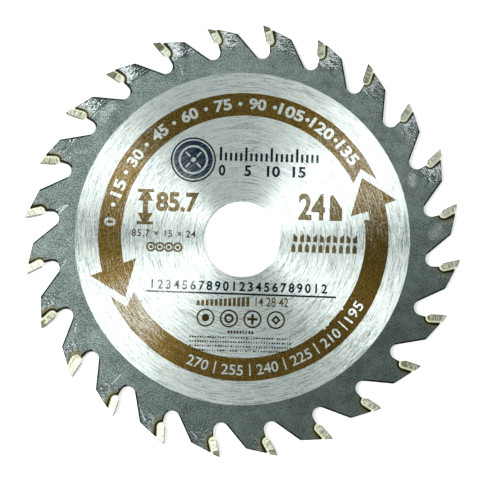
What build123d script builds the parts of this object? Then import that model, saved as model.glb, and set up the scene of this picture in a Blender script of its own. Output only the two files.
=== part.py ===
from build123d import *
import math
import os

# A small circular saw blade with brazed carbide tips, lying flat with its printed face up.
# Z runs along the arbor, and Z = 0 is the surface that the blade lies on. The tips are wider than the steel
# plate, so the blade lies on its tips and the plate is clear of that surface all round.
# Seen from above, the cutting faces point anticlockwise, which is also the way the blade turns.
# Lengths are in millimetres and angles in degrees.

# Blade
blade_diameter = 85.7
bore_diameter = 15.0
bore_chamfer = 0.15
plate_thickness = 1.1
kerf = 1.7
tooth_count = 24
first_tooth_angle = 84.43

# Carbide tip: its side outline, and the angles that its faces are ground to
tip_thickness = 1.28
tip_length = 4.06
rake_face_length = 3.25
tip_foot_set_back = 0.26
tip_heel_radius = 0.7
hook_angle = 17.0
seat_angle = 19.0
top_clearance_angle = 16.5
bevel_angle = 15.0
side_clearance_down = 1.0
side_clearance_back = 2.0

# Braze between a tip and its seat: it rises from the plate to the side of the wider tip, and ends short of the
# top, which leaves the small notch behind each tip
braze_gap = 0.2
braze_rise = 0.13
braze_shortfall = 0.15

# Steel behind and in front of the tip, whose top lies a step below the tip's
land_step = 0.2
land_angle = 22.0
land_reach = 5.86
seat_corner_radius = 0.15
shoulder_radius = 0.25
gullet_radius = 1.5
gullet_depth = 6.74
gullet_offset = 0.35

# Values that follow from them
tip_radius = blade_diameter / 2
tooth_pitch = 360 / tooth_count
plate_bottom = (kerf - plate_thickness) / 2
seat_depth = tip_thickness + braze_gap
seat_length = tip_length + braze_gap
land_fall = math.tan(math.radians(top_clearance_angle + seat_angle))
rake_face_end = -rake_face_length * math.tan(math.radians(seat_angle - hook_angle))


def upright(back, down):
    """Point of a tooth whose cutting corner is straight up from the bore.

    From that corner, back is measured square to the seat, into the carbide, and down along the seat.
    """
    return Vector(0, tip_radius) + Vector(back, -down).rotate(Axis.Z, seat_angle)


def direction(angle):
    """Unit vector at an angle, anticlockwise from +X."""
    return Vector(math.cos(math.radians(angle)), math.sin(math.radians(angle)))


def foot_front(down):
    """How far back the front of the foot lies, between the rake face and the gullet."""
    slope = (tip_foot_set_back - rake_face_end) / (tip_length - rake_face_length)
    return rake_face_end + slope * (down - rake_face_length)


def heel_points(gap):
    """Start, middle and end of the arc round the tip's heel, at a distance outside the carbide."""
    centre = upright(tip_thickness - tip_heel_radius, tip_length - tip_heel_radius)
    radius = tip_heel_radius + gap
    return [centre + direction(seat_angle - turn) * radius for turn in (0, 45, 90)]


def tangent_point(start, centre, radius, side):
    """Where a line from start touches a circle, on its left side (1) or its right side (-1)."""
    away = centre - start
    run = math.sqrt(away.length**2 - radius**2)
    turn = math.degrees(math.asin(radius / away.length))
    return start + away.normalized().rotate(Axis.Z, side * turn) * run


# Outline of the steel tooth, as points of the upright tooth
land_top = upright(seat_depth, seat_depth * land_fall + land_step)
land_run = (land_reach - land_top.X) / math.cos(math.radians(land_angle))
shoulder = land_top + direction(-land_angle) * land_run
seat_foot = upright(foot_front(seat_length), seat_length)
gullet_centre = Vector(gullet_offset, tip_radius - gullet_depth + gullet_radius)
gullet_front = tangent_point(seat_foot, gullet_centre, gullet_radius, 1)
next_shoulder = shoulder.rotate(Axis.Z, tooth_pitch)
gullet_back = tangent_point(next_shoulder, gullet_centre, gullet_radius, -1)
gullet_middle = ((gullet_front + gullet_back) / 2 - gullet_centre).normalized()
gullet_bottom = gullet_centre + gullet_middle * gullet_radius


def turned(points, index):
    """The same points on another tooth, counted anticlockwise from the first."""
    return [point.rotate(Axis.Z, first_tooth_angle - 90 + index * tooth_pitch) for point in points]


def corners_at(sketch, point):
    """The corners of a sketch that lie as far from the bore's axis as a point of the upright tooth."""
    return sketch.vertices().filter_by(lambda corner: abs(math.hypot(corner.X, corner.Y) - point.length) < 1e-4)


# Blade plate
with BuildPart() as blade_plate:
    with BuildSketch(Plane.XY.offset(plate_bottom)) as plate_outline:
        with BuildLine():
            for index in range(tooth_count):
                Polyline(*turned([shoulder, land_top, heel_points(braze_gap)[0]], index))
                ThreePointArc(*turned(heel_points(braze_gap), index))
                Polyline(*turned([heel_points(braze_gap)[2], seat_foot, gullet_front], index))
                ThreePointArc(*turned([gullet_front, gullet_bottom, gullet_back], index))
                Line(*turned([gullet_back, next_shoulder], index))
        make_face()
        fillet(corners_at(plate_outline, shoulder), shoulder_radius)
        fillet(corners_at(plate_outline, land_top), seat_corner_radius)
        Circle(bore_diameter / 2, mode=Mode.SUBTRACT)
    extrude(amount=plate_thickness)
    bore_edges = blade_plate.edges().filter_by(GeomType.CIRCLE).group_by(
        lambda edge: math.hypot(edge.arc_center.X, edge.arc_center.Y)
    )[0]
    chamfer(bore_edges, bore_chamfer)
blade_plate.part.label = "blade_plate"


# Carbide tip, upright, with the high corner of its bevel on the upper side
top_corner = upright(0, 0) + Vector(0, 0, kerf)
back = direction(seat_angle)
inward = direction(seat_angle - 90)
side_slope = back * math.tan(math.radians(side_clearance_back))
side_slope += inward * math.tan(math.radians(side_clearance_down))
bevel_slope = direction(90 - top_clearance_angle) - Vector(0, 0, math.tan(math.radians(bevel_angle)))

with BuildPart() as upright_tip:
    with BuildSketch():
        with BuildLine():
            Line(heel_points(0)[2], upright(tip_foot_set_back, tip_length))
            Line(upright(tip_foot_set_back, tip_length), upright(rake_face_end, rake_face_length))
            Line(upright(rake_face_end, rake_face_length), upright(0, 0))
            Line(upright(0, 0), upright(tip_thickness, 0))
            Line(upright(tip_thickness, 0), heel_points(0)[0])
            ThreePointArc(*heel_points(0))
        make_face()
    extrude(amount=kerf)
    split(bisect_by=Plane(top_corner, z_dir=bevel_slope), keep=Keep.BOTTOM)
    split(bisect_by=Plane(top_corner, z_dir=side_slope + Vector(0, 0, 1)), keep=Keep.BOTTOM)
    split(bisect_by=Plane(upright(0, 0), z_dir=side_slope - Vector(0, 0, 1)), keep=Keep.BOTTOM)

with BuildPart() as upright_tip_reversed:
    add(mirror(upright_tip.part, about=Plane.XY.offset(kerf / 2), mode=Mode.PRIVATE))


# Braze seam, upright: a strip swept round the back and the foot of the tip, and trimmed to the steel
with BuildPart() as upright_braze:
    with BuildLine() as braze_path:
        Line(upright(tip_thickness, 0), heel_points(0)[0])
        ThreePointArc(*heel_points(0))
        Line(heel_points(0)[2], upright(-tip_thickness, tip_length))
    with BuildSketch(Plane(upright(tip_thickness, 0), x_dir=back, z_dir=inward)):
        with BuildLine():
            Polyline(
                (0, plate_bottom - braze_rise),
                (0, plate_bottom + plate_thickness + braze_rise),
                (braze_gap, plate_bottom + plate_thickness),
                (braze_gap, plate_bottom),
                close=True,
            )
        make_face()
    sweep()
    braze_top = land_top - direction(90 - land_angle) * braze_shortfall
    split(bisect_by=Plane(braze_top, z_dir=direction(90 - land_angle)), keep=Keep.BOTTOM)
    front = seat_foot - upright(tip_foot_set_back, tip_length)
    split(bisect_by=Plane(seat_foot, z_dir=front.cross(Vector(0, 0, 1))), keep=Keep.BOTTOM)


os.makedirs("parts", exist_ok=True)
export_step(blade_plate.part, "parts/blade_plate.step")

for index in range(tooth_count):
    number = f"{index + 1:02d}"
    turn = Location((0, 0, 0), (0, 0, first_tooth_angle - 90 + index * tooth_pitch))
    with BuildPart() as carbide_tip:
        with Locations(turn):
            add(upright_tip.part if index % 2 == 0 else upright_tip_reversed.part)
    carbide_tip.part.label = f"carbide_tip_{number}"
    export_step(carbide_tip.part, f"parts/carbide_tip_{number}.step")

    with BuildPart() as braze_seam:
        with Locations(turn):
            add(upright_braze.part)
    braze_seam.part.label = f"braze_seam_{number}"
    export_step(braze_seam.part, f"parts/braze_seam_{number}.step")
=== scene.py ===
import math

import bmesh
import bpy
from mathutils import Matrix, Vector


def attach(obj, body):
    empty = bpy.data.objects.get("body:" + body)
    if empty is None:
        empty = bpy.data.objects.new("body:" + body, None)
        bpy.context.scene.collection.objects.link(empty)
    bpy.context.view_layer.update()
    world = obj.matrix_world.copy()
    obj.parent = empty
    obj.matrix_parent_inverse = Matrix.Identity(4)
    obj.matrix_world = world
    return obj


# A small circular saw blade, lying on its carbide tips with the printed face up.
# Sizes are in millimetres until they reach a finished mesh, and angles are in degrees, anticlockwise from +X.

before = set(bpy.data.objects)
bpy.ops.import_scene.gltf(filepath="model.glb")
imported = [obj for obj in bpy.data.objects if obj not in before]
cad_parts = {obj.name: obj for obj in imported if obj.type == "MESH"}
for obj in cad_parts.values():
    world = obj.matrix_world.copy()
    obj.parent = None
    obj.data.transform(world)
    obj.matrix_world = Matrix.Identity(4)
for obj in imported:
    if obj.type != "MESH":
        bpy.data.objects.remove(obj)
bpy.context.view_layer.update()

MM = 0.001

# The blade, as the CAD model has it. A tooth's points are those of a tooth whose cutting corner is straight
# above the bore, with X to its back.
TIP_RADIUS = 42.85
FIRST_TOOTH = 84.43
TOOTH_PITCH = 15.0
PLATE_TOP = 1.4
SEAT_ANGLE = 19.0
SEAT_DEPTH = 1.48
SEAT_LENGTH = 4.26
SEAT_HEEL_RADIUS = 0.9
BRAZE_GAP = 0.2
TOP_FALL = math.tan(math.radians(35.5))
SHOULDER_TURN = 8.3
LAND_TOP = (1.808, 42.145)
SHOULDER = (5.86, 40.508)
OWN_GULLET_BACK = (8.775, 35.485)
NEXT_SHOULDER = (-4.824, 40.644)
GULLET_BACK = (-0.708, 36.547)
SEAT_FOOT = (1.72, 38.937)
GULLET_FRONT = (1.842, 37.765)
GULLET_LOW = (1.55, 36.75)

# The most that a tip's side may be ground dark, from its cutting corner down
GROUND_DOWN_MOST = 3.0

# The bright ground centre, which lies a little off the bore's axis
GROUND_RADIUS = 32.83
GROUND_CENTRE = (0.07, 0.25)

# The print on the upper face, which is turned a little
PRINT_CENTRE = (0.27, 0.54)
PRINT_TURN = -1.7
INK_THICKNESS = 0.012
RING_INNER = 23.95
RING_OUTER = 28.47
RING_MIDDLE = 26.3
DISC_CENTRE = (-9.55, 15.69)


def linear(code):
    """An sRGB hex colour as Blender's linear colour."""
    channels = [int(code[start:start + 2], 16) / 255 for start in (1, 3, 5)]
    return tuple(c / 12.92 if c <= 0.04045 else ((c + 0.055) / 1.055) ** 2.4 for c in channels) + (1.0,)


def add(tree, kind, inputs=(), **settings):
    """Adds a node. Its inputs go by position or by name, and are values, output sockets or nodes.

    A node stands for its first output that is in use.
    """
    node = tree.nodes.new(kind)
    for name, value in settings.items():
        setattr(node, name, value)
    for key, value in inputs.items() if isinstance(inputs, dict) else enumerate(inputs):
        if isinstance(value, bpy.types.Node):
            value = next(output for output in value.outputs if output.enabled)
        if isinstance(value, bpy.types.NodeSocket):
            tree.links.new(value, node.inputs[key])
        elif value is not None:
            node.inputs[key].default_value = value
    return node


def new_material(name):
    """An empty material and its node tree."""
    material = bpy.data.materials.new(name)
    material.use_nodes = True
    material.node_tree.nodes.clear()
    return material, material.node_tree


def new_group(name, kind, inputs, outputs):
    """An empty node group with these sockets, which are pairs of a name and a kind."""
    group = bpy.data.node_groups.new(name, kind)
    for direction, sockets in (("INPUT", inputs), ("OUTPUT", outputs)):
        for socket_name, socket_kind in sockets:
            group.interface.new_socket(socket_name, in_out=direction, socket_type="NodeSocket" + socket_kind)
    return group


# Camera: a long lens, nearly straight above the blade. Its turns and its place were fitted to the outline.
FOCAL_PIXELS = 2200
FRAME_PIXELS = 488
SENSOR_WIDTH = 36
CAMERA_TURN_Y = -0.748
CAMERA_TURN_X = -7.225
CAMERA_PLACE = (0.426 * MM, -0.965 * MM, 431.45 * MM)
BLADE_MIDDLE = (0, 0, 0.85 * MM)
camera_data = bpy.data.cameras.new("camera")
camera_data.lens = FOCAL_PIXELS / FRAME_PIXELS * SENSOR_WIDTH
camera_data.clip_start = 0.01
camera = bpy.data.objects.new("camera", camera_data)
camera_turn = Matrix.Rotation(math.radians(CAMERA_TURN_Y), 4, "Y")
camera_turn = camera_turn @ Matrix.Rotation(math.radians(CAMERA_TURN_X), 4, "X")
camera.matrix_world = (
    Matrix.Translation(BLADE_MIDDLE) @ camera_turn.inverted() @ Matrix.Translation(CAMERA_PLACE)
)
bpy.context.scene.collection.objects.link(camera)
bpy.context.scene.camera = camera
bpy.context.scene.view_settings.view_transform = "Standard"

# Room: plain walls of a cool white, half as bright as paper in the lamps' light
world = bpy.data.worlds.new("studio")
world.use_nodes = True
tree = world.node_tree
tree.nodes.clear()
room = add(tree, "ShaderNodeBackground", (linear("#F8FFFC"), 0.55))
add(tree, "ShaderNodeOutputWorld", (room,))
bpy.context.scene.world = world

# Floor: white to the eye and in reflections, half of it by its own glow
floor_material, tree = new_material("matt_white_paper")
rays = add(tree, "ShaderNodeLightPath").outputs
seen = add(tree, "ShaderNodeMath", (rays["Is Camera Ray"], rays["Is Glossy Ray"]), operation="MAXIMUM")
seen = add(tree, "ShaderNodeMath", (seen, rays["Is Transmission Ray"]), operation="MAXIMUM")
glow = add(tree, "ShaderNodeMath", (seen, 0.5), operation="MULTIPLY")
paper = add(tree, "ShaderNodeBsdfPrincipled", {
    "Base Color": linear("#F4F4F2"), "Roughness": 0.9,
    "Emission Color": linear("#FFFFFF"), "Emission Strength": glow,
})
add(tree, "ShaderNodeOutputMaterial", (paper,))
floor_mesh = bpy.data.meshes.new("floor")
floor_mesh.from_pydata([(-3, -3, 0), (3, -3, 0), (3, 3, 0), (-3, 3, 0)], [], [(0, 1, 2, 3)])
floor_mesh.materials.append(floor_material)
floor = bpy.data.objects.new("floor", floor_mesh)
bpy.context.scene.collection.objects.link(floor)


# Lamps: two soft boxes, whose reflections are the bright fans of the ground steel, and a white card
LAMP_ZENITH = 32
LAMP_DISTANCE = 0.6
LAMP_HEIGHT = 0.30


def add_lamp(name, azimuth, width, radiance):
    """A lamp that faces the blade. Its power follows from how bright its face is."""
    data = bpy.data.lights.new(name, "AREA")
    data.shape = "RECTANGLE"
    data.size = width
    data.size_y = LAMP_HEIGHT
    data.energy = radiance * math.pi * width * LAMP_HEIGHT
    lamp = bpy.data.objects.new(name, data)
    lamp.matrix_world = (
        Matrix.Rotation(math.radians(azimuth + 90), 4, "Z")
        @ Matrix.Rotation(math.radians(LAMP_ZENITH), 4, "X")
        @ Matrix.Translation((0, 0, LAMP_DISTANCE))
    )
    bpy.context.scene.collection.objects.link(lamp)


add_lamp("left_soft_box", azimuth=200, width=0.27, radiance=6.6)
add_lamp("upper_left_soft_box", azimuth=140, width=0.11, radiance=7.4)
add_lamp("lower_left_white_card", azimuth=246, width=0.30, radiance=0.6)

# How far a point of the upright tooth is from a straight edge
SEGMENT = new_group(
    "distance_to_edge", "ShaderNodeTree",
    [("Point", "Vector"), ("Start", "Vector"), ("End", "Vector")], [("Distance", "Float")],
)
given = add(SEGMENT, "NodeGroupInput").outputs
run = add(SEGMENT, "ShaderNodeVectorMath", (given["End"], given["Start"]), operation="SUBTRACT")
away = add(SEGMENT, "ShaderNodeVectorMath", (given["Point"], given["Start"]), operation="SUBTRACT")
along = add(SEGMENT, "ShaderNodeVectorMath", (away, run), operation="DOT_PRODUCT")
square = add(SEGMENT, "ShaderNodeVectorMath", (run, run), operation="DOT_PRODUCT")
share = add(SEGMENT, "ShaderNodeMath", (along, square), operation="DIVIDE", use_clamp=True)
nearest = add(SEGMENT, "ShaderNodeVectorMath", {0: run, "Scale": share}, operation="SCALE")
gap = add(SEGMENT, "ShaderNodeVectorMath", (away, nearest), operation="SUBTRACT")
gap = add(SEGMENT, "ShaderNodeVectorMath", (gap,), operation="LENGTH")
add(SEGMENT, "NodeGroupOutput", (gap,))

# Where a point lies on the blade: its radius and angle, and its place on the nearest tooth
PLACE = new_group("place_on_blade", "ShaderNodeTree", [], [
    ("Millimetres", "Vector"), ("Radius", "Float"), ("Angle", "Float"), ("Tooth", "Float"),
    ("Upright", "Vector"), ("Back", "Float"), ("Down", "Float"), ("From Seat", "Float"),
    ("From Back Edge", "Float"), ("From Front Edge", "Float"), ("From Land", "Float"), ("Wall", "Float"),
    ("Along Ring", "Vector"),
])
where = add(PLACE, "ShaderNodeTexCoord").outputs["Object"]
millimetres = add(PLACE, "ShaderNodeVectorMath", {0: where, "Scale": 1 / MM}, operation="SCALE")
axes = add(PLACE, "ShaderNodeSeparateXYZ", (millimetres,)).outputs
level = add(PLACE, "ShaderNodeCombineXYZ", (axes["X"], axes["Y"]))
radius = add(PLACE, "ShaderNodeVectorMath", (level,), operation="LENGTH")
angle = add(PLACE, "ShaderNodeMath", (axes["Y"], axes["X"]), operation="ARCTAN2")
angle = add(PLACE, "ShaderNodeMath", (angle,), operation="DEGREES")
pitches = add(PLACE, "ShaderNodeMath", (angle, SHOULDER_TURN - FIRST_TOOTH), operation="ADD")
pitches = add(PLACE, "ShaderNodeMath", (pitches, TOOTH_PITCH), operation="DIVIDE")
tooth = add(PLACE, "ShaderNodeMath", (pitches,), operation="FLOOR")
share = add(PLACE, "ShaderNodeMath", (pitches, tooth), operation="SUBTRACT")
turn = add(PLACE, "ShaderNodeMath", (share, TOOTH_PITCH, -SHOULDER_TURN), operation="MULTIPLY_ADD")
turn = add(PLACE, "ShaderNodeMath", (turn,), operation="RADIANS")
sine, cosine = [add(PLACE, "ShaderNodeMath", (turn,), operation=kind) for kind in ("SINE", "COSINE")]
inward_radius = add(PLACE, "ShaderNodeMath", (radius, -1.0), operation="MULTIPLY")
upright_x = add(PLACE, "ShaderNodeMath", (inward_radius, sine), operation="MULTIPLY")
upright_y = add(PLACE, "ShaderNodeMath", (radius, cosine), operation="MULTIPLY")
upright = add(PLACE, "ShaderNodeCombineXYZ", (upright_x, upright_y))
corner = add(PLACE, "ShaderNodeVectorMath", (upright, (0.0, TIP_RADIUS, 0.0)), operation="SUBTRACT")
seat_cosine, seat_sine = math.cos(math.radians(SEAT_ANGLE)), math.sin(math.radians(SEAT_ANGLE))
back = add(PLACE, "ShaderNodeVectorMath", (corner, (seat_cosine, seat_sine, 0.0)), operation="DOT_PRODUCT")
down = add(PLACE, "ShaderNodeVectorMath", (corner, (seat_sine, -seat_cosine, 0.0)), operation="DOT_PRODUCT")
back_over = add(PLACE, "ShaderNodeMath", (back, SEAT_DEPTH - SEAT_HEEL_RADIUS), operation="SUBTRACT")
down_over = add(PLACE, "ShaderNodeMath", (down, SEAT_LENGTH - SEAT_HEEL_RADIUS), operation="SUBTRACT")
seat_over = add(PLACE, "ShaderNodeCombineXYZ", (back_over, down_over))
outside = add(PLACE, "ShaderNodeVectorMath", (seat_over, (0.0, 0.0, 0.0)), operation="MAXIMUM")
outside = add(PLACE, "ShaderNodeVectorMath", (outside,), operation="LENGTH")
inside = add(PLACE, "ShaderNodeMath", (back_over, down_over), operation="MAXIMUM")
inside = add(PLACE, "ShaderNodeMath", (inside, 0.0), operation="MINIMUM")
from_seat = add(PLACE, "ShaderNodeMath", (outside, inside), operation="ADD")
from_seat = add(PLACE, "ShaderNodeMath", (from_seat, SEAT_HEEL_RADIUS), operation="SUBTRACT")
in_front = add(PLACE, "ShaderNodeMath", (back, -1.0, -SEAT_DEPTH), operation="MULTIPLY_ADD")
from_seat = add(PLACE, "ShaderNodeMath", (from_seat, in_front), operation="MAXIMUM")
own_back, next_back, from_front, from_gullet, from_land = [
    add(PLACE, "ShaderNodeGroup", (upright, (*start, 0.0), (*end, 0.0)), node_tree=SEGMENT)
    for start, end in (
        (SHOULDER, OWN_GULLET_BACK), (NEXT_SHOULDER, GULLET_BACK), (SEAT_FOOT, GULLET_FRONT),
        (GULLET_FRONT, GULLET_LOW), (LAND_TOP, SHOULDER),
    )
]
from_back = add(PLACE, "ShaderNodeMath", (own_back, next_back), operation="MINIMUM")
from_front = add(PLACE, "ShaderNodeMath", (from_front, from_gullet), operation="MINIMUM")
# A face of the plate that stands up is a wall of its outline
facing = add(PLACE, "ShaderNodeNewGeometry").outputs["Normal"]
facing = add(PLACE, "ShaderNodeSeparateXYZ", (facing,)).outputs["Z"]
facing = add(PLACE, "ShaderNodeMath", (facing,), operation="ABSOLUTE")
wall = add(PLACE, "ShaderNodeMath", (facing, 0.5), operation="LESS_THAN")
along_x = add(PLACE, "ShaderNodeMath", (axes["Y"], -1.0), operation="MULTIPLY")
along_ring = add(PLACE, "ShaderNodeCombineXYZ", (along_x, axes["X"]))
along_ring = add(PLACE, "ShaderNodeVectorMath", (along_ring,), operation="NORMALIZE")
add(PLACE, "NodeGroupOutput", (
    millimetres, radius, angle, tooth, upright, back, down, from_seat, from_back, from_front, from_land,
    wall, along_ring,
))


def towards(tree, angle, least, most):
    """From 0 to 1 as a point's direction from the bore nears an angle."""
    here = add(tree, "ShaderNodeGroup", node_tree=PLACE).outputs["Angle"]
    turn = add(tree, "ShaderNodeMath", (here, angle), operation="SUBTRACT")
    turn = add(tree, "ShaderNodeMath", (turn,), operation="RADIANS")
    near = add(tree, "ShaderNodeMath", (turn,), operation="COSINE")
    return add(tree, "ShaderNodeMapRange", (near, least, most, 0.0, 1.0), interpolation_type="SMOOTHSTEP")


# What sets one tooth apart from the next, from the first one on: how hard the steel beside its tip was
# brushed, partly a painted highlight that is strongest on the teeth at the top, how far down the tip's side
# is ground dark, in shares of the most, how pale the rest of that side is, and how far the straw tint of the
# heat reaches
TEETH = (
    (0.6, 0.5, 0.75, 0.3), (0.75, 0.58, 0.8, 0.4), (1.0, 0.75, 0.85, 0.4), (0.93, 0.78, 0.65, 0.4),
    (0.7, 0.15, 0.52, 0.5), (0.3, 0.1, 0.45, 0.2), (0.05, 0.0, 0.65, 0.05), (0.05, 0.0, 0.65, 0.2),
    (0.35, 0.4, 0.36, 0.4), (0.45, 0.0, 0.6, 0.9), (0.35, 0.0, 0.78, 0.45), (0.35, 0.1, 0.75, 0.4),
    (0.22, 0.48, 0.65, 0.35), (0.15, 0.48, 0.5, 0.25), (0.03, 0.2, 0.44, 0.2), (0.03, 0.2, 0.44, 0.2),
    (0.03, 0.15, 0.3, 0.2), (0.03, 0.1, 0.4, 0.2), (0.08, 0.1, 0.5, 0.2), (0.12, 0.25, 0.58, 0.2),
    (0.6, 0.1, 0.63, 0.0), (0.55, 0.1, 0.5, 0.0), (0.5, 0.2, 0.4, 0.2), (0.7, 0.38, 0.55, 0.3),
)
CHARACTER = new_group("tooth_character", "ShaderNodeTree", [], [
    ("Brushed And Sheen", "Float"), ("Ground Down", "Float"), ("Paleness", "Float"), ("Straw", "Float"),
])
tooth = add(CHARACTER, "ShaderNodeGroup", node_tree=PLACE).outputs["Tooth"]
share = add(CHARACTER, "ShaderNodeMath", (tooth, 0.5), operation="ADD")
share = add(CHARACTER, "ShaderNodeMath", (share, len(TEETH)), operation="FLOORED_MODULO")
share = add(CHARACTER, "ShaderNodeMath", (share, len(TEETH)), operation="DIVIDE")
ramp = add(CHARACTER, "ShaderNodeValToRGB", (share,))
ramp.color_ramp.interpolation = "CONSTANT"
stops = ramp.color_ramp.elements
stops.remove(stops[1])
for index, character in enumerate(TEETH):
    stop = stops.new(index / len(TEETH)) if index else stops[0]
    stop.color = character
parts = add(CHARACTER, "ShaderNodeSeparateColor", (ramp,)).outputs
add(CHARACTER, "NodeGroupOutput", (parts["Red"], parts["Green"], parts["Blue"], ramp.outputs["Alpha"]))

# Lines left by grinding in rings round the bore, long along the ring and narrow across it, from 0 to 1
GRAIN = new_group(
    "ring_grain", "ShaderNodeTree",
    [("Line Width", "Float"), ("Line Length", "Float"), ("Seed", "Float")], [("Grain", "Float")],
)
given = add(GRAIN, "NodeGroupInput").outputs
place = add(GRAIN, "ShaderNodeGroup", node_tree=PLACE).outputs
lines = add(GRAIN, "ShaderNodeMath", (place["Radius"], given["Line Width"]), operation="DIVIDE")
lines = add(GRAIN, "ShaderNodeCombineXYZ", (0.0, 0.0, lines))
spot = add(GRAIN, "ShaderNodeVectorMath", (place["Millimetres"], (1.0, 1.0, 0.0)), operation="MULTIPLY")
finer = add(GRAIN, "ShaderNodeMath", (1.0, given["Line Length"]), operation="DIVIDE")
spot = add(GRAIN, "ShaderNodeVectorMath", {0: spot, "Scale": finer}, operation="SCALE")
spot = add(GRAIN, "ShaderNodeVectorMath", (spot, lines), operation="ADD")
grain = add(GRAIN, "ShaderNodeTexNoise", {
    "Vector": spot, "W": given["Seed"], "Scale": 1.0, "Roughness": 0.6,
}, noise_dimensions="4D")
add(GRAIN, "NodeGroupOutput", (grain,))

# The ground steel's colour, and the direction of its lines: rings that wander a few degrees either way, so
# that a lamp's bright fan ends in streaks. Steel and ink share it.
RING_GROUND = new_group(
    "ring_ground_surface", "ShaderNodeTree",
    [], [("Colour", "Color"), ("Lines", "Float"), ("Tangent", "Vector")],
)
# The real lines are a few hundredths of a millimetre wide, and are drawn coarser so that they show
fine, short, long, tinted = [
    add(RING_GROUND, "ShaderNodeGroup", (width, length, seed), node_tree=GRAIN)
    for width, length, seed in ((0.13, 3.4, 1.0), (0.14, 0.6, 7.0), (0.11, 3.0, 17.0), (0.3, 1.2, 13.0))
]
tone = add(RING_GROUND, "ShaderNodeMath", (short, 0.6, fine), operation="MULTIPLY_ADD")
# Painted highlight: the steel is a little brighter towards the upper right and the top
for angle, least, finer in ((38, 0.75, 0.05), (117, 0.88, 0.05)):
    near = towards(RING_GROUND, angle, least, 0.97)
    tone = add(RING_GROUND, "ShaderNodeMath", (near, finer, tone), operation="MULTIPLY_ADD")
# Painted shade: between the two bright fans, the outer steel is darker at the right and at the left
painted_shade_outer = add(RING_GROUND, "ShaderNodeGroup", node_tree=PLACE).outputs["Radius"]
painted_shade_outer = add(RING_GROUND, "ShaderNodeMapRange", (painted_shade_outer, 12.0, 24.0, 0.0, -0.075))
for angle in (0.5, 177):
    near = towards(RING_GROUND, angle, 0.987, 0.9995)
    tone = add(RING_GROUND, "ShaderNodeMath", (near, painted_shade_outer, tone), operation="MULTIPLY_ADD")
tone = add(RING_GROUND, "ShaderNodeMapRange", (tone, 0.6, 0.83, 0.0, 1.0))
colour = add(RING_GROUND, "ShaderNodeMix", {
    "Factor": tone, "A": linear("#8F9895"), "B": linear("#FFFFFF"),
}, data_type="RGBA")
blue_share = add(RING_GROUND, "ShaderNodeMapRange", (tinted, 0.4, 0.6, 0.0, 1.0))
tint = add(RING_GROUND, "ShaderNodeMix", {
    "Factor": blue_share, "A": linear("#F3F7ED"), "B": linear("#EAF6FA"),
}, data_type="RGBA")
colour = add(RING_GROUND, "ShaderNodeMix", {
    "Factor": 1.0, "A": colour, "B": tint,
}, data_type="RGBA", blend_type="MULTIPLY")
rings = add(RING_GROUND, "ShaderNodeGroup", node_tree=PLACE).outputs["Along Ring"]
normal = add(RING_GROUND, "ShaderNodeNewGeometry").outputs["Normal"]
wander = add(RING_GROUND, "ShaderNodeMath", (short, 0.5, long), operation="MULTIPLY_ADD")
wander = add(RING_GROUND, "ShaderNodeMapRange", (wander, 0.45, 1.05, math.radians(-17), math.radians(17)))
tangent = add(RING_GROUND, "ShaderNodeVectorRotate", {"Vector": rings, "Axis": normal, "Angle": wander})
add(RING_GROUND, "NodeGroupOutput", (colour, fine, tangent))

# Plate: cold-rolled tool steel. Its centre is ground in rings, which gives bright fans under a lamp, and its
# toothed rim is blasted with grit, which is matt and darker. The heat of brazing leaves soot and a straw tint
# beside each tip, with painted shadow where the tip stands proud, and the brush that cleans it off leaves a
# bright patch, partly a painted highlight.
steel, tree = new_material("ring_ground_and_grit_blasted_steel")
place = add(tree, "ShaderNodeGroup", node_tree=PLACE).outputs
surface = add(tree, "ShaderNodeGroup", node_tree=RING_GROUND).outputs
ground_bump = add(tree, "ShaderNodeBump", {
    "Strength": 0.3, "Distance": 0.02 * MM, "Height": surface["Lines"],
})
ground = add(tree, "ShaderNodeBsdfPrincipled", {
    "Base Color": surface["Colour"], "Metallic": 1.0, "Roughness": 0.43, "Anisotropic": 1.0,
    "Anisotropic Rotation": 0.25, "Tangent": surface["Tangent"], "Normal": ground_bump,
})

# Grit marks are about 0.2 mm across, between clouds that are uneven over a few millimetres
grit, clouds = [
    add(tree, "ShaderNodeTexNoise", {
        "Vector": place["Millimetres"], "Scale": scale, "Detail": detail, "Roughness": roughness,
    }) for scale, detail, roughness in ((4.2, 2.0, 0.8), (0.3, 3.0, 0.65))
]
grit_tone = add(tree, "ShaderNodeMath", (clouds, 0.35, grit), operation="MULTIPLY_ADD")
grit_tone = add(tree, "ShaderNodeMapRange", (grit_tone, 0.45, 0.9, 0.0, 1.0))
rim_colour = add(tree, "ShaderNodeMix", {
    "Factor": grit_tone, "A": linear("#26312F"), "B": linear("#98A6A2"),
}, data_type="RGBA")

# The grit bit deeper on the left, which is rougher to the eye. The lower right is darker by painted shade.
bitten = add(tree, "ShaderNodeMapRange", (grit, 0.36, 0.52, 0.75, 0.0))
bitten = add(tree, "ShaderNodeMath", (bitten, towards(tree, 185, -0.2, 0.9)), operation="MULTIPLY")
painted_shade_lower_right = add(tree, "ShaderNodeMath", (towards(tree, 300, 0.0, 1.0), 0.55), operation="MULTIPLY")
for cover, colour in ((bitten, "#1F2A2B"), (painted_shade_lower_right, "#1B2322")):
    rim_colour = add(tree, "ShaderNodeMix", {
        "Factor": cover, "A": rim_colour, "B": linear(colour),
    }, data_type="RGBA")
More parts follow.
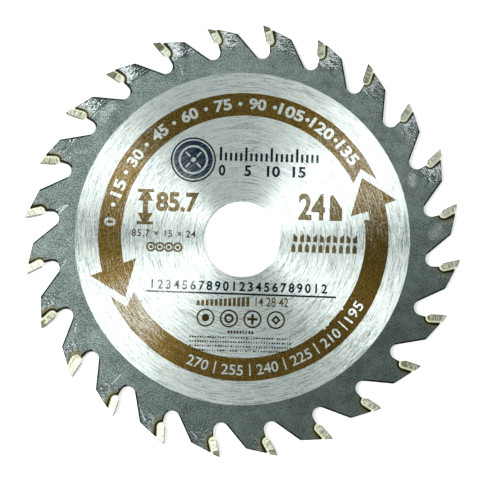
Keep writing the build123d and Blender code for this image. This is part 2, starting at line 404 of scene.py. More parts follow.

# The brushed patch beside each tip: crossed strokes, bright beside the tip and darker towards the shoulder.
# How strong it is on each tooth is partly a painted highlight, strongest on the teeth at the top.
character = add(tree, "ShaderNodeGroup", node_tree=CHARACTER).outputs
brushed_and_sheen = character["Brushed And Sheen"]
patch_near = add(tree, "ShaderNodeMapRange", (
    place["From Seat"], 0.15, 0.5, 0.0, 1.0,
), interpolation_type="SMOOTHSTEP")
patch_edge = add(tree, "ShaderNodeMath", (clouds, 3.0, -1.0), operation="MULTIPLY_ADD")
patch_low = add(tree, "ShaderNodeMath", (place["Radius"], patch_edge), operation="SUBTRACT")
patch_low = add(tree, "ShaderNodeMapRange", (
    patch_low, 37.1, 38.1, 0.0, 1.0,
), interpolation_type="SMOOTHSTEP")
brushed_reach = add(tree, "ShaderNodeMath", (brushed_and_sheen, 2.0, 3.0), operation="MULTIPLY_ADD")
patch_far = add(tree, "ShaderNodeMath", (place["From Seat"], patch_edge), operation="ADD")
patch_far = add(tree, "ShaderNodeMath", (patch_far, brushed_reach), operation="SUBTRACT")
patch_far = add(tree, "ShaderNodeMapRange", (patch_far, -0.6, 0.8, 1.0, 0.0), interpolation_type="SMOOTHSTEP")
# The strokes are drawn about 0.2 mm wide and 1.2 mm long, coarser than the real ones, so that they show
STROKE_TURNS = (math.radians(-64), math.radians(28))
strokes = [
    add(tree, "ShaderNodeTexNoise", {
        "Vector": add(tree, "ShaderNodeMapping", {
            "Vector": place["Upright"], "Rotation": (0.0, 0.0, turn), "Scale": (0.8, 4.2, 1.0),
        }),
        "Scale": 1.0, "Roughness": 0.6,
    }) for turn in STROKE_TURNS
]
crossed = add(tree, "ShaderNodeMath", (strokes[0], strokes[1]), operation="MAXIMUM")
crossed = add(tree, "ShaderNodeMath", (grit, 0.9, crossed), operation="MULTIPLY_ADD")
most_brushed = add(tree, "ShaderNodeMapRange", (brushed_and_sheen, 0.8, 1.0, -0.04, -0.17))
to_shoulder = add(tree, "ShaderNodeMapRange", (place["From Seat"], 1.8, 3.0, 0.0, 1.0))
to_shoulder = add(tree, "ShaderNodeMath", (to_shoulder, most_brushed, 0.06), operation="MULTIPLY_ADD")
beside_tip = add(tree, "ShaderNodeMapRange", (place["From Seat"], 0.4, 1.8, 0.06, -0.015))
for change in (to_shoulder, beside_tip):
    crossed = add(tree, "ShaderNodeMath", (crossed, change), operation="ADD")
patch = patch_near
for limit in (patch_far, patch_low, brushed_and_sheen):
    patch = add(tree, "ShaderNodeMath", (patch, limit), operation="MULTIPLY")
bright_strokes = add(tree, "ShaderNodeMath", (patch, 0.14, crossed), operation="MULTIPLY_ADD")
bright_strokes = add(tree, "ShaderNodeMapRange", (bright_strokes, 1.1, 1.24, 0.0, 1.0))
stroke_colour = add(tree, "ShaderNodeMix", {
    "Factor": bright_strokes, "A": linear("#36413F"), "B": linear("#E6EFF0"),
}, data_type="RGBA")
patch = add(tree, "ShaderNodeMath", (patch, 1.5), operation="MULTIPLY", use_clamp=True)
rim_colour = add(tree, "ShaderNodeMix", {
    "Factor": patch, "A": rim_colour, "B": stroke_colour,
}, data_type="RGBA")

# Scratches: the tooth, where it starts and ends on the upright tooth, how wide it is and how strong
BRIGHT_SCRATCHES = (
    (2, (3.1, 36.5), (2.9, 34.7), 0.14, 0.6),
    (4, (2.3, 38.0), (4.2, 37.95), 0.12, 0.7), (4, (4.2, 37.4), (4.9, 36.7), 0.18, 0.6),
    (5, (2.2, 37.8), (3.4, 37.3), 0.12, 0.7), (5, (4.5, 36.8), (4.9, 35.8), 0.12, 0.6),
    (6, (1.4, 36.4), (3.3, 34.8), 0.2, 0.9), (6, (2.1, 36.8), (3.3, 34.9), 0.14, 0.8),
    (7, (0.2, 35.7), (1.5, 34.6), 0.16, 0.5), (9, (6.4, 36.9), (7.6, 35.4), 0.14, 0.6),
    (10, (3.95, 37.8), (3.6, 35.2), 0.12, 0.8), (11, (5.2, 39.7), (6.6, 38.1), 0.12, 0.7),
    (12, (4.7, 39.6), (6.0, 38.4), 0.12, 0.6),
    (20, (2.5, 35.6), (3.8, 35.0), 1.1, 0.45), (19, (4.2, 38.4), (5.4, 37.0), 1.3, 0.25),
    (4, (3.5, 36.2), (6.5, 36.4), 1.3, 0.3), (21, (3.2, 38.0), (6.0, 38.4), 1.4, 0.2),
)
DARK_SCRATCHES = ((3, (2.0, 38.15), (7.0, 37.5), 0.16, 0.9), (4, (4.0, 38.05), (6.6, 37.65), 0.14, 0.8))
flat_place = add(tree, "ShaderNodeVectorMath", (place["Millimetres"], (1.0, 1.0, 0.0)), operation="MULTIPLY")
broken = add(tree, "ShaderNodeMapRange", (grit, 0.4, 0.6, 0.1, 1.0))
for scratches, colour in ((BRIGHT_SCRATCHES, "#E9F0F0"), (DARK_SCRATCHES, "#151B1B")):
    scratched = 0.0
    for tooth, start, end, width, strength in scratches:
        turn = Matrix.Rotation(math.radians(FIRST_TOOTH - 90 + tooth * TOOTH_PITCH), 3, "Z")
        ends = [turn @ Vector((*point, 0)) for point in (start, end)]
        scratch = add(tree, "ShaderNodeGroup", (flat_place, *ends), node_tree=SEGMENT)
        scratch = add(tree, "ShaderNodeMapRange", (scratch, width / 3, width, strength, 0.0))
        scratched = add(tree, "ShaderNodeMath", (scratch, scratched), operation="MAXIMUM")
    scratched = add(tree, "ShaderNodeMath", (scratched, broken), operation="MULTIPLY")
    rim_colour = add(tree, "ShaderNodeMix", {
        "Factor": scratched, "A": rim_colour, "B": linear(colour),
    }, data_type="RGBA")

# Straw tint beside the braze, and soot with painted shadow where the tip stands proud of the plate, both
# wider towards the notch at the top
tooth_random = add(tree, "ShaderNodeTexWhiteNoise", {"W": place["Tooth"]}, noise_dimensions="1D")
notch = add(tree, "ShaderNodeMapRange", (place["Down"], 0.5, 4.0, 0.32, 0.0))
soot_and_shadow_edge = notch
for uneven, share in ((tooth_random, 0.22), (clouds, 0.25), (grit, 0.5)):
    soot_and_shadow_edge = add(tree, "ShaderNodeMath", (uneven, share, soot_and_shadow_edge), operation="MULTIPLY_ADD")
soot_and_shadow_edge = add(tree, "ShaderNodeMath", (place["From Seat"], soot_and_shadow_edge), operation="SUBTRACT")
soot_and_shadow_edge = add(tree, "ShaderNodeMath", (soot_and_shadow_edge, 0.3), operation="ADD")
tint_edge = add(tree, "ShaderNodeMath", (character["Straw"], -1.2, soot_and_shadow_edge), operation="MULTIPLY_ADD")
tint = add(tree, "ShaderNodeMapRange", (tint_edge, -0.3, 0.7, 0.8, 0.0), interpolation_type="SMOOTHSTEP")
brushed_off = add(tree, "ShaderNodeMath", (brushed_and_sheen, character["Straw"]), operation="SUBTRACT")
tint_left = add(tree, "ShaderNodeMath", (1.0, brushed_off), operation="SUBTRACT", use_clamp=True)
tint = add(tree, "ShaderNodeMath", (tint, tint_left), operation="MULTIPLY")
# Soot, with painted shadow beside the proud tip
soot_and_shadow = add(tree, "ShaderNodeMapRange", (soot_and_shadow_edge, 0.0, 0.28, 0.95, 0.0), interpolation_type="SMOOTHSTEP")

# Painted shade: a dark line along each tooth's back and land, and along its front on the left, where the
# edges stand in shade
edge_noise = add(tree, "ShaderNodeMath", (grit, 0.2, -0.1), operation="MULTIPLY_ADD")
from_land = add(tree, "ShaderNodeMath", (place["From Land"], 0.17), operation="ADD")
on_left = towards(tree, 170, -0.3, 0.7)
from_front = add(tree, "ShaderNodeMath", (on_left, -0.28, 0.12), operation="MULTIPLY_ADD")
from_front = add(tree, "ShaderNodeMath", (place["From Front Edge"], from_front), operation="ADD")
from_edge = place["From Back Edge"]
for other_edge in (from_front, from_land):
    from_edge = add(tree, "ShaderNodeMath", (from_edge, other_edge), operation="MINIMUM")
from_edge = add(tree, "ShaderNodeMath", (from_edge, edge_noise), operation="ADD")
painted_edge_shade = add(tree, "ShaderNodeMapRange", (
    from_edge, 0.2, 0.38, 0.95, 0.0,
), interpolation_type="SMOOTHSTEP")
for cover, colour in ((tint, "#5C5628"), (soot_and_shadow, "#13120C"), (painted_edge_shade, "#0B0D0D")):
    rim_colour = add(tree, "ShaderNodeMix", {
        "Factor": cover, "A": rim_colour, "B": linear(colour),
    }, data_type="RGBA")
rim_bump = add(tree, "ShaderNodeBump", {"Strength": 0.6, "Distance": 0.03 * MM, "Height": grit})
blasted = add(tree, "ShaderNodeBsdfPrincipled", {
    "Base Color": rim_colour, "Metallic": 1.0, "Roughness": 0.41, "Normal": rim_bump,
})

# Walls of the outline: cut by a laser, with upright ridges about 0.2 mm wide and a dark skin, made darker
# still as painted shade
ridge_spot = add(tree, "ShaderNodeVectorMath", (place["Millimetres"], (6.0, 6.0, 0.4)), operation="MULTIPLY")
ridges = add(tree, "ShaderNodeTexNoise", {"Vector": ridge_spot, "Scale": 1.0, "Detail": 1.0})
wall_colour = add(tree, "ShaderNodeMix", {
    "Factor": ridges, "A": linear("#171512"), "B": linear("#4A463F"),
}, data_type="RGBA")
wall_bump = add(tree, "ShaderNodeBump", {"Strength": 0.6, "Distance": 0.03 * MM, "Height": ridges})
cut = add(tree, "ShaderNodeBsdfPrincipled", {
    "Base Color": wall_colour, "Metallic": 1.0, "Roughness": 0.45, "Normal": wall_bump,
})

off_centre = add(tree, "ShaderNodeVectorMath", (
    place["Millimetres"], (*GROUND_CENTRE, 0.0),
), operation="SUBTRACT")
off_centre = add(tree, "ShaderNodeVectorMath", (off_centre, (1.0, 1.0, 0.0)), operation="MULTIPLY")
reach = add(tree, "ShaderNodeVectorMath", (off_centre,), operation="LENGTH")
rim = add(tree, "ShaderNodeMapRange", (reach, GROUND_RADIUS - 0.05, GROUND_RADIUS + 0.05, 0.0, 1.0))
finish = add(tree, "ShaderNodeMixShader", (rim, ground, blasted))
finish = add(tree, "ShaderNodeMixShader", (place["Wall"], finish, cut))
add(tree, "ShaderNodeOutputMaterial", (finish,))

# Tips: cobalt-bonded tungsten carbide, ground with a diamond wheel to a satin grey with fine lines across
# each side. The outer part of the side is darker, and braze has wetted its inner edge, which is a pale line.
# The lines are drawn 0.2 mm wide, so that they show.
carbide, tree = new_material("diamond_ground_tungsten_carbide")
place = add(tree, "ShaderNodeGroup", node_tree=PLACE).outputs
wheel_spot = add(tree, "ShaderNodeCombineXYZ", (
    add(tree, "ShaderNodeMath", (place["Back"], 0.8), operation="MULTIPLY"),
    add(tree, "ShaderNodeMath", (place["Down"], 5.0), operation="MULTIPLY"),
))
wheel_lines = add(tree, "ShaderNodeTexNoise", {
    "Vector": wheel_spot, "W": place["Tooth"], "Scale": 1.0, "Roughness": 0.6,
}, noise_dimensions="4D")
mottle = add(tree, "ShaderNodeTexNoise", {"Vector": place["Millimetres"], "Scale": 1.6, "Roughness": 0.6})
character = add(tree, "ShaderNodeGroup", node_tree=CHARACTER).outputs
outer_tone = add(tree, "ShaderNodeMapRange", (wheel_lines, 0.38, 0.62, 0.0, 1.0))
outer_colour = add(tree, "ShaderNodeMix", {
    "Factor": outer_tone, "A": linear("#50523D"), "B": linear("#8C8D72"),
}, data_type="RGBA")
inner_tone = add(tree, "ShaderNodeMath", (mottle, 0.5, character["Paleness"]), operation="MULTIPLY_ADD")
inner_tone = add(tree, "ShaderNodeMath", (wheel_lines, 2.2, inner_tone), operation="MULTIPLY_ADD")
inner_tone = add(tree, "ShaderNodeMapRange", (inner_tone, 1.55, 2.35, 0.0, 1.0))
inner_colour = add(tree, "ShaderNodeMix", {
    "Factor": inner_tone, "A": linear("#6F7155"), "B": linear("#F4F9E8"),
}, data_type="RGBA")
ground_reach = add(tree, "ShaderNodeMath", (
    character["Ground Down"], -GROUND_DOWN_MOST, place["Down"],
), operation="MULTIPLY_ADD")
ground_reach = add(tree, "ShaderNodeMath", (mottle, 0.8, ground_reach), operation="MULTIPLY_ADD")
inner = add(tree, "ShaderNodeMapRange", (ground_reach, 0.3, 0.55, 0.0, 1.0), interpolation_type="SMOOTHSTEP")
tip_colour = add(tree, "ShaderNodeMix", {
    "Factor": inner, "A": outer_colour, "B": inner_colour,
}, data_type="RGBA")
wetted = add(tree, "ShaderNodeMapRange", (
    place["From Seat"], -BRAZE_GAP - 0.16, -BRAZE_GAP - 0.06, 0.0, 1.0,
), interpolation_type="SMOOTHSTEP")
# Dark lines along the rake face and the top
rake_edge = add(tree, "ShaderNodeMath", (place["Down"], 0.035, place["Back"]), operation="MULTIPLY_ADD")
top_edge = add(tree, "ShaderNodeMath", (place["Back"], -TOP_FALL, place["Down"]), operation="MULTIPLY_ADD")
sharp_edge = add(tree, "ShaderNodeMath", (rake_edge, top_edge), operation="MINIMUM")
sharp_edge = add(tree, "ShaderNodeMapRange", (sharp_edge, 0.06, 0.16, 0.8, 0.0))
for cover, colour in ((wetted, "#F0EFC6"), (sharp_edge, "#4A4940")):
    tip_colour = add(tree, "ShaderNodeMix", {
        "Factor": cover, "A": tip_colour, "B": linear(colour),
    }, data_type="RGBA")
tip_bump = add(tree, "ShaderNodeBump", {"Strength": 0.3, "Distance": 0.02 * MM, "Height": wheel_lines})
satin = add(tree, "ShaderNodeBsdfPrincipled", {
    "Base Color": tip_colour, "Metallic": 1.0, "Roughness": 0.38, "Normal": tip_bump,
})
add(tree, "ShaderNodeOutputMaterial", (satin,))

# Braze: silver-brass alloy that flowed round the tip and set smooth, with ripples half a millimetre apart
braze, tree = new_material("flowed_silver_brass_braze")
place = add(tree, "ShaderNodeGroup", node_tree=PLACE).outputs
ripples = add(tree, "ShaderNodeTexNoise", {"Vector": place["Millimetres"], "Scale": 1.8})
braze_colour = add(tree, "ShaderNodeMix", {
    "Factor": ripples, "A": linear("#EAE6BE"), "B": linear("#FDFBE4"),
}, data_type="RGBA")
braze_bump = add(tree, "ShaderNodeBump", {"Strength": 0.5, "Distance": 0.04 * MM, "Height": ripples})
flowed = add(tree, "ShaderNodeBsdfPrincipled", {
    "Base Color": braze_colour, "Metallic": 1.0, "Roughness": 0.32, "Normal": braze_bump,
})
add(tree, "ShaderNodeOutputMaterial", (flowed,))

for name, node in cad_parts.items():
    material = steel if name == "blade_plate" else carbide if name.startswith("carbide") else braze
    for material_slot in node.material_slots:
        material_slot.material = material


def make_ink(name, colours, cover):
    """A pad-printed ink: so thin that the lines of the ring-ground steel under it show through as streaks.

    Its colours are those where it is thin and where it has pooled. The cover is where steel starts to show.
    """
    ink, tree = new_material(name)
    place = add(tree, "ShaderNodeGroup", node_tree=PLACE).outputs
    surface = add(tree, "ShaderNodeGroup", node_tree=RING_GROUND).outputs
    speckles = add(tree, "ShaderNodeGroup", (0.15, 0.4, 31.0), node_tree=GRAIN)
    pooled = add(tree, "ShaderNodeMapRange", (speckles, 0.4, 0.6, 1.0, 0.0))
    colour = add(tree, "ShaderNodeMix", {
        "Factor": pooled, "A": linear(colours[0]), "B": linear(colours[1]),
    }, data_type="RGBA")
    # Painted shade: the ring's ink is darker towards the lower right
    lower_right_ink_shade = add(tree, "ShaderNodeMapRange", (place["Radius"], 20.5, 22.5, 0.0, 0.62))
    lower_right_ink_shade = add(tree, "ShaderNodeMath", (towards(tree, 337, 0.75, 1.0), lower_right_ink_shade), operation="MULTIPLY")
    colour = add(tree, "ShaderNodeMix", {
        "Factor": lower_right_ink_shade, "A": colour, "B": linear("#2A2006"),
    }, data_type="RGBA")
    # The ink is thin along lines and in speckles, where the steel shows through. Towards the lower left and
    # the two upper sides more steel shows, as a painted highlight
    thin = add(tree, "ShaderNodeMix", {"Factor": 0.4, "A": surface["Lines"], "B": speckles})
    for angle, least, sheen in ((215, 0.94, 0.1), (210, 0.75, 0.09), (26, 0.77, 0.14), (150, 0.8, 0.11)):
        near = towards(tree, angle, least, 1.0)
        thin = add(tree, "ShaderNodeMath", (near, sheen, thin), operation="MULTIPLY_ADD")
    thin = add(tree, "ShaderNodeMapRange", (thin, cover, cover + 0.2, 0.0, 0.6))
    colour = add(tree, "ShaderNodeMix", {
        "Factor": thin, "A": colour, "B": surface["Colour"],
    }, data_type="RGBA")
    bump = add(tree, "ShaderNodeBump", {"Strength": 0.3, "Distance": 0.02 * MM, "Height": surface["Lines"]})
    shader = add(tree, "ShaderNodeBsdfPrincipled", {
        "Base Color": colour, "Metallic": 1.0, "Roughness": 0.36, "Anisotropic": 1.0,
        "Anisotropic Rotation": 0.25, "Tangent": place["Along Ring"], "Normal": bump,
    })
    add(tree, "ShaderNodeOutputMaterial", (shader,))
    return ink


brown_ink = make_ink("pad_printed_bronze_ink", ("#8C7038", "#473C16"), 0.61)
umber_ink = make_ink("pad_printed_umber_ink", ("#4C3D22", "#38311B"), 0.62)
olive_ink = make_ink("pad_printed_olive_ink", ("#80714D", "#4A4026"), 0.65)
navy_ink = make_ink("pad_printed_navy_ink", ("#0B141C", "#263743"), 0.63)
worn_navy_ink = make_ink("worn_pad_printed_navy_ink", ("#030A12", "#3A5068"), 0.54)


def evaluated_mesh(source):
    """The mesh that an object's modifiers or outlines give. The object is removed."""
    bpy.context.scene.collection.objects.link(source)
    depsgraph = bpy.context.evaluated_depsgraph_get()
    mesh = bpy.data.meshes.new_from_object(source.evaluated_get(depsgraph))
    bpy.data.objects.remove(source)
    return mesh


def moved(points, x=0.0, y=0.0, turn=PRINT_TURN):
    """Points turned by an angle and then moved."""
    cosine, sine = math.cos(math.radians(turn)), math.sin(math.radians(turn))
    return [(x + px * cosine - py * sine, y + px * sine + py * cosine) for px, py in points]


def at(radius, angle):
    """A point at a radius and angle from the middle of the print."""
    turn = math.radians(angle)
    return PRINT_CENTRE[0] + radius * math.cos(turn), PRINT_CENTRE[1] + radius * math.sin(turn)


def arc(radius, start, end):
    """Points about a degree apart on an arc round the middle of the print."""
    steps = max(2, round(abs(end - start)))
    return [at(radius, start + (end - start) * step / steps) for step in range(steps + 1)]


def circle(radius, points=32):
    """Corners of a circle round the origin."""
    turns = [math.tau * step / points for step in range(points)]
    return [(radius * math.cos(turn), radius * math.sin(turn)) for turn in turns]


def box(left, bottom, right, top):
    """Corners of an upright box."""
    return [(left, bottom), (right, bottom), (right, top), (left, top)]


def numerals(text, x, y, width, height, turn=PRINT_TURN, boldness=0.0, spacing=1.0):
    """Outlines of plain numerals that fill a box round (x, y)."""
    curve = bpy.data.curves.new("numerals", "FONT")
    curve.body = text
    curve.offset = boldness
    curve.space_character = spacing
    curve.resolution_u = 4
    shape = bmesh.new()
    shape.from_mesh(evaluated_mesh(bpy.data.objects.new("numerals", curve)))
    bmesh.ops.remove_doubles(shape, verts=shape.verts, dist=1e-5)
    edges = dict.fromkeys(edge for edge in shape.edges if len(edge.link_faces) == 1)
    outlines = []
    while edges:
        edge, _ = edges.popitem()
        start, vertex = edge.verts
        outline = [start.co.xy[:]]
        while vertex is not start:
            outline.append(vertex.co.xy[:])
            edge = next(other for other in vertex.link_edges if other in edges)
            del edges[edge]
            vertex = edge.other_vert(vertex)
        outlines.append(outline)
    shape.free()
    across = [point[0] for outline in outlines for point in outline]
    upward = [point[1] for outline in outlines for point in outline]
    x_scale = width / (max(across) - min(across))
    y_scale = height / (max(upward) - min(upward))
    x_middle, y_middle = (max(across) + min(across)) / 2, (max(upward) + min(upward)) / 2
    return [
        moved([((px - x_middle) * x_scale, (py - y_middle) * y_scale) for px, py in outline], x, y, turn)
        for outline in outlines
    ]


def printed(name, outlines, material, more_flat=()):
    """A thin printed piece. An outline inside another is a hole. Flat meshes may be added to it."""
    curve = bpy.data.curves.new(name, "CURVE")
    curve.dimensions = "2D"
    curve.fill_mode = "BOTH"
    for outline in outlines:
        spline = curve.splines.new("POLY")
        spline.points.add(len(outline) - 1)
        for point, (x, y) in zip(spline.points, outline):
            point.co = (x, y, 0, 1)
        spline.use_cyclic_u = True
    shape = bmesh.new()
    shape.from_mesh(evaluated_mesh(bpy.data.objects.new(name, curve)))
    for mesh in more_flat:
        shape.from_mesh(mesh)
    bmesh.ops.remove_doubles(shape, verts=shape.verts, dist=1e-5)
    faces = bmesh.ops.extrude_face_region(shape, geom=shape.faces[:])["geom"]
    raised = [item for item in faces if isinstance(item, bmesh.types.BMVert)]
    bmesh.ops.translate(shape, verts=raised, vec=(0, 0, INK_THICKNESS))
    bmesh.ops.recalc_face_normals(shape, faces=shape.faces)
    shape.transform(Matrix.Scale(MM, 4) @ Matrix.Translation((0, 0, PLATE_TOP - INK_THICKNESS / 2)))
    mesh = bpy.data.meshes.new(name)
    shape.to_mesh(mesh)
    shape.free()
    mesh.materials.append(material)
    piece = bpy.data.objects.new(name, mesh)
    bpy.context.scene.collection.objects.link(piece)
    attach(piece, "root")


# Rows of upright marks, such as a scale's ticks, from the origin along X. A mark may grow by its place in the
# row, stand taller at every fifth place, and vary in width.
MARKS = new_group("row_of_marks", "GeometryNodeTree", [
    ("Count", "Int"), ("Pitch", "Float"), ("Width", "Float"), ("Height", "Float"), ("Growth", "Float"),
    ("Fifth", "Float"), ("Variation", "Float"), ("Seed", "Int"), ("Ink", "Material"),
], [("Geometry", "Geometry")])
given = add(MARKS, "NodeGroupInput").outputs
pitch = add(MARKS, "ShaderNodeCombineXYZ", (given["Pitch"],))
line = add(MARKS, "GeometryNodeMeshLine", {"Count": given["Count"], "Offset": pitch})
index = add(MARKS, "GeometryNodeInputIndex")
fifth = add(MARKS, "ShaderNodeMath", (index, 5.0), operation="MODULO")
fifth = add(MARKS, "ShaderNodeMath", (fifth, 0.5), operation="LESS_THAN")
tall = add(MARKS, "ShaderNodeMath", (index, given["Growth"], given["Height"]), operation="MULTIPLY_ADD")
tall = add(MARKS, "ShaderNodeMath", (fifth, given["Fifth"], tall), operation="MULTIPLY_ADD")
narrow = add(MARKS, "ShaderNodeMath", (1.0, given["Variation"]), operation="SUBTRACT")
wide = add(MARKS, "FunctionNodeRandomValue", {
    "Min": narrow, "Max": 1.0, "Seed": given["Seed"],
}, data_type="FLOAT")
wide = add(MARKS, "ShaderNodeMath", (wide, given["Width"]), operation="MULTIPLY")
stretch = add(MARKS, "ShaderNodeCombineXYZ", (wide, tall, 1.0))
mark = add(MARKS, "GeometryNodeMeshGrid", {
    "Size X": 1.0, "Size Y": 1.0, "Vertices X": 2, "Vertices Y": 2,
})
mark = add(MARKS, "GeometryNodeTransform", {"Geometry": mark, "Translation": (0.5, 0.5, 0.0)})
placed = add(MARKS, "GeometryNodeInstanceOnPoints", {"Points": line, "Instance": mark, "Scale": stretch})
real = add(MARKS, "GeometryNodeRealizeInstances", {"Geometry": placed})
inked = add(MARKS, "GeometryNodeSetMaterial", {"Geometry": real, "Material": given["Ink"]})
add(MARKS, "NodeGroupOutput", (inked,))


def row_of_marks(x, y, turn=PRINT_TURN, **sizes):
    """A flat row of marks whose first mark has its lower left corner at (x, y)."""
    row = bpy.data.objects.new("row", bpy.data.meshes.new("row"))
    modifier = row.modifiers.new("marks", "NODES")
    modifier.node_group = MARKS
    for item in MARKS.interface.items_tree:
        if item.in_out == "INPUT" and item.name in sizes:
            modifier[item.identifier] = sizes[item.name]
    mesh = evaluated_mesh(row)
    mesh.transform(Matrix.Translation((x, y, 0)) @ Matrix.Rotation(math.radians(turn), 4, "Z"))
    return mesh


# The printed ring is two arrows that chase each other the way the blade turns, with a dial of angles left
# open in them: one number for each tooth
def arrow_outline(tail, head, chipped=(), chip_width=0.0, nicks=()):
    """An arrow along the ring, from its swallowtail at one angle to its point at another.

    Ink may have chipped off where its head begins, and in nicks of its inner edge: an angle and a depth each.
    """
    start = head - 14.9 - chip_width
    inner_edge = arc(RING_INNER, start, tail - 0.66)
    for angle, depth in nicks:
        inner_edge[round(start - angle)] = at(RING_INNER + depth, angle)
    return [
        *arc(RING_OUTER, tail - 3.06, head - 13.6), at(30.9, head - 13.0), at(26.0, head),
        at(21.4, head - 15.9), *chipped, *inner_edge, at(26.6, tail + 3.6),
    ]


# The upper numbers have dots between them, and the lower ones, which stand the other way up, have bars
FIRST_UPPER_NUMBER = 173.8
FIRST_LOWER_NUMBER = 250.4
dial = []
for step in range(10):
    text = str(step * 15)
    angle = FIRST_UPPER_NUMBER - step * TOOTH_PITCH
    dial += numerals(text, *at(RING_MIDDLE, angle), 1.72 * len(text), 2.35, angle - 90, boldness=0.035)
    if step < 9:
        dial.append(moved(circle(0.42, 12), *at(RING_MIDDLE, angle - TOOTH_PITCH / 2)))
for step in range(6):
    text = str(270 - step * 15)
    angle = FIRST_LOWER_NUMBER + step * TOOTH_PITCH
    dial += numerals(text, *at(RING_MIDDLE, angle), 1.42 * len(text), 2.05, angle + 90, boldness=0.012)
    if step < 5:
        middle = angle + TOOTH_PITCH / 2
        dial.append(moved(box(-0.14, -1.2, 0.14, 1.2), *at(RING_MIDDLE, middle), middle + 90))
# Ink has chipped off the lower arrow where its head begins, and in nicks further down its inner edge
chipped = [
    (23.7, 5.1), (23.94, 5.12), (24.0, 4.55), (24.06, 5.1), (24.25, 5.32), (24.65, 5.32), (24.82, 4.9),
    (24.85, 4.4), (24.98, 4.0), (24.98, 3.6), (24.6, 3.72), (24.15, 3.78),
]
nicks = ((323.4, 0.4), (313.4, 0.35), (311.2, 0.5))
UPPER_ARROW = (26.3, 207.7)
LOWER_ARROW = (207.7, 386.3)
printed("rotation_arrows_ink", [
    arrow_outline(*UPPER_ARROW),
    arrow_outline(*LOWER_ARROW, chipped, chip_width=3.9, nicks=nicks),
    *dial,
], brown_ink)

# Upper left: a centring mark, open in a navy disc
disc = [moved(circle(radius), *DISC_CENTRE) for radius in (3.85, 2.9, 2.5, 0.5)]
for quarter in range(4):
    disc.append(moved(box(0.95, -0.17, 2.1, 0.17), *DISC_CENTRE, PRINT_TURN + 45 + quarter * 90))
printed("centring_mark_ink", disc, worn_navy_ink)

# Upper right: a scale of millimetres over its numbers. The ring round the disc is of the same ink.
scale_numbers = [moved(circle(radius, 48), *DISC_CENTRE) for radius in (4.45, 4.13)]
for step in range(4):
    text = str(step * 5)
    scale_numbers += numerals(
        text, -3.9 + step * 5.05, 13.6 - step * 0.15, 1.3 * len(text), 2.2, boldness=0.03,
    )
printed("millimetre_scale_ink", scale_numbers, navy_ink, [row_of_marks(
    -4.4, 15.55, Count=20, Pitch=1.0, Width=0.48, Height=1.6, Fifth=1.1, Ink=navy_ink,
)])

# Left of the bore: an upright arrow with the diameter in numbers, over a smaller row of sizes
upright_arrow = [
    (-1.6, -3.5), (1.6, -3.5), (1.6, -2.9), (0.55, -2.9), (1.5, -1.2), (0.5, -1.2), (0.5, 1.2), (1.5, 1.2),
    (0.55, 2.9), (1.6, 2.9), (1.6, 3.5), (-1.6, 3.5), (-1.6, 2.9), (-0.55, 2.9), (-1.5, 1.2), (-0.5, 1.2),
    (-0.5, -1.2), (-1.5, -1.2), (-0.55, -2.9), (-1.6, -2.9),
]
printed("diameter_numbers_ink", [
    moved(upright_arrow, -18.95, 6.35),
    *numerals("85.7", -12.65, 7.25, 8.4, 4.0, boldness=0.04),
], olive_ink)
size_row = numerals("85.7 × 15 × 24", -15.3, 1.05, 12.6, 1.4, boldness=0.01, spacing=1.1)
printed("size_row_ink", size_row, umber_ink)
ring_row = []
for step in range(4):
    for radius in (0.98, 0.6, 0.34):
        ring_row.append(moved(circle(radius, 20), -17.8 + step * 1.75, -1.55 - step * 0.05))
printed("ring_row_ink", ring_row, olive_ink)

# Right of the bore: the number of teeth beside a tooth, over two rows of tooth shapes
teeth = [moved([(-1.1, -2.6), (1.35, -2.6), (1.35, -0.2), (-0.55, 2.6), (-1.1, 2.2)], 18.35, 6.1)]
for step in range(10):
    lean = 0.35 if step % 2 else -0.35
    bevelled = [(-0.4, -0.8), (0.4, -0.8), (0.4, 0.5 + lean), (-0.4, 0.5 - lean)]
    teeth.append(moved(bevelled, 10.5 + step * 1.3, 0.2 - step * 0.037))
    chamfered = [(-0.4, -0.8), (0.4, -0.8), (0.4, 0.3), (0.15, 0.85), (-0.15, 0.85), (-0.4, 0.3)]
    teeth.append(moved(chamfered, 10.1 + step * 1.33, -1.85 - step * 0.037))
printed("tooth_number_ink", [*numerals("24", 13.75, 6.3, 5.3, 5.3, boldness=0.03), *teeth], olive_ink)

# Below the bore: a long row of single numbers on a rule
printed("long_scale_ink", [
    *numerals("1234567890123456789012", -0.5, -9.4, 34.4, 1.95, boldness=0.03, spacing=1.4),
    moved(box(-18.6, -0.18, 18.6, 0.18), -0.2, -10.9, -2.0),
], navy_ink)
bar_numbers = numerals("14 28 42", 5.9, -12.5, 6.4, 1.8, boldness=0.01)
printed("rising_bars_ink", bar_numbers, olive_ink, [row_of_marks(
    -8.8, -13.1, Count=12, Pitch=0.88, Width=0.6, Height=1.0, Growth=0.085, Ink=olive_ink,
)])

# Four ringed marks: a dot, a ring, a cross and a lozenge
ringed = []
INNER_MARKS = (
    [circle(0.75, 20)],
    [circle(0.95, 20), circle(0.5, 16)],
    [[(-0.25, -1), (0.25, -1), (0.25, -0.25), (1, -0.25), (1, 0.25), (0.25, 0.25), (0.25, 1), (-0.25, 1),
      (-0.25, 0.25), (-1, 0.25), (-1, -0.25), (-0.25, -0.25)]],
    [[(-0.95, 0), (0, -0.95), (0.95, 0), (0, 0.95)], [(-0.4, 0), (0, -0.4), (0.4, 0), (0, 0.4)]],
)
for step, inner_marks in enumerate(INNER_MARKS):
    for outline in (circle(1.78, 32), circle(1.46, 32), *inner_marks):
        ringed.append(moved(outline, -7.06 + step * 4.58, -15.5 - step * 0.166))
printed("ringed_marks_ink", ringed, umber_ink)

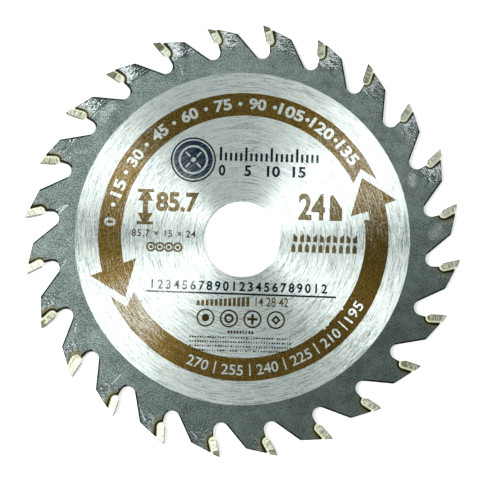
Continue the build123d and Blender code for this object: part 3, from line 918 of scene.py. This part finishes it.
# Rows of fine dashes
dash_rows = [row_of_marks(
    -2.75, -18.6, Count=9, Pitch=0.58, Width=0.4, Height=0.6, Variation=0.4, Seed=3, Ink=umber_ink,
)]
for row in range(4):
    last = row == 3
    dash_rows.append(row_of_marks(
        -10.2 + 0.9 * last, -19.35 - row * 0.86, Count=40 - 4 * last, Pitch=0.5, Width=0.42, Height=0.34,
        Variation=0.75, Seed=10 + row, Ink=umber_ink,
    ))
printed("fine_dashes_ink", [], umber_ink, dash_rows)

# On one tooth the braze ran over the edge of the seat, and set as a low bead on the plate: how far round the
# seat each section lies, and how far out it reaches
OVERFLOW_TOOTH = 9
OVERFLOW = (
    (0.9, 0.1), (1.3, 0.3), (1.8, 0.4), (2.4, 0.55), (3.0, 0.62), (3.6, 0.6), (4.2, 0.5), (4.7, 0.25),
    (4.9, 0.1),
)
STRAIGHT_SEAT = SEAT_LENGTH - SEAT_HEEL_RADIUS
bead = bmesh.new()
sections = []
for run, bead_width in OVERFLOW:
    bend = max(0.0, run - STRAIGHT_SEAT) / SEAT_HEEL_RADIUS
    section = []
    # From the braze in the seat, over the crown and down to the plate: how far out and how high
    outline = (
        (-0.1, -0.01), (-0.1, 0.1), (bead_width * 0.5, 0.09), (bead_width * 0.85, 0.05), (bead_width, -0.01),
    )
    for out, rise in outline:
        reach = SEAT_HEEL_RADIUS + out
        back = SEAT_DEPTH - SEAT_HEEL_RADIUS + reach * math.cos(bend)
        down = min(run, STRAIGHT_SEAT) + reach * math.sin(bend)
        x, y = back * seat_cosine + down * seat_sine, TIP_RADIUS + back * seat_sine - down * seat_cosine
        (place,) = moved([(x, y)], turn=FIRST_TOOTH - 90 + OVERFLOW_TOOTH * TOOTH_PITCH)
        section.append(bead.verts.new((*place, PLATE_TOP + rise)))
    sections.append(section)
for section, next_section in zip(sections, sections[1:]):
    for corner in range(len(section)):
        before = corner - 1
        bead.faces.new((section[before], section[corner], next_section[corner], next_section[before]))
bead.faces.new(sections[0])
bead.faces.new(sections[-1])
bmesh.ops.recalc_face_normals(bead, faces=bead.faces)
bead.transform(Matrix.Scale(MM, 4))
bead_mesh = bpy.data.meshes.new("braze_overflow")
bead.to_mesh(bead_mesh)
bead.free()
bead_mesh.shade_smooth()
bead_mesh.materials.append(braze)
braze_overflow = bpy.data.objects.new("braze_overflow", bead_mesh)
bpy.context.scene.collection.objects.link(braze_overflow)
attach(braze_overflow, "root")
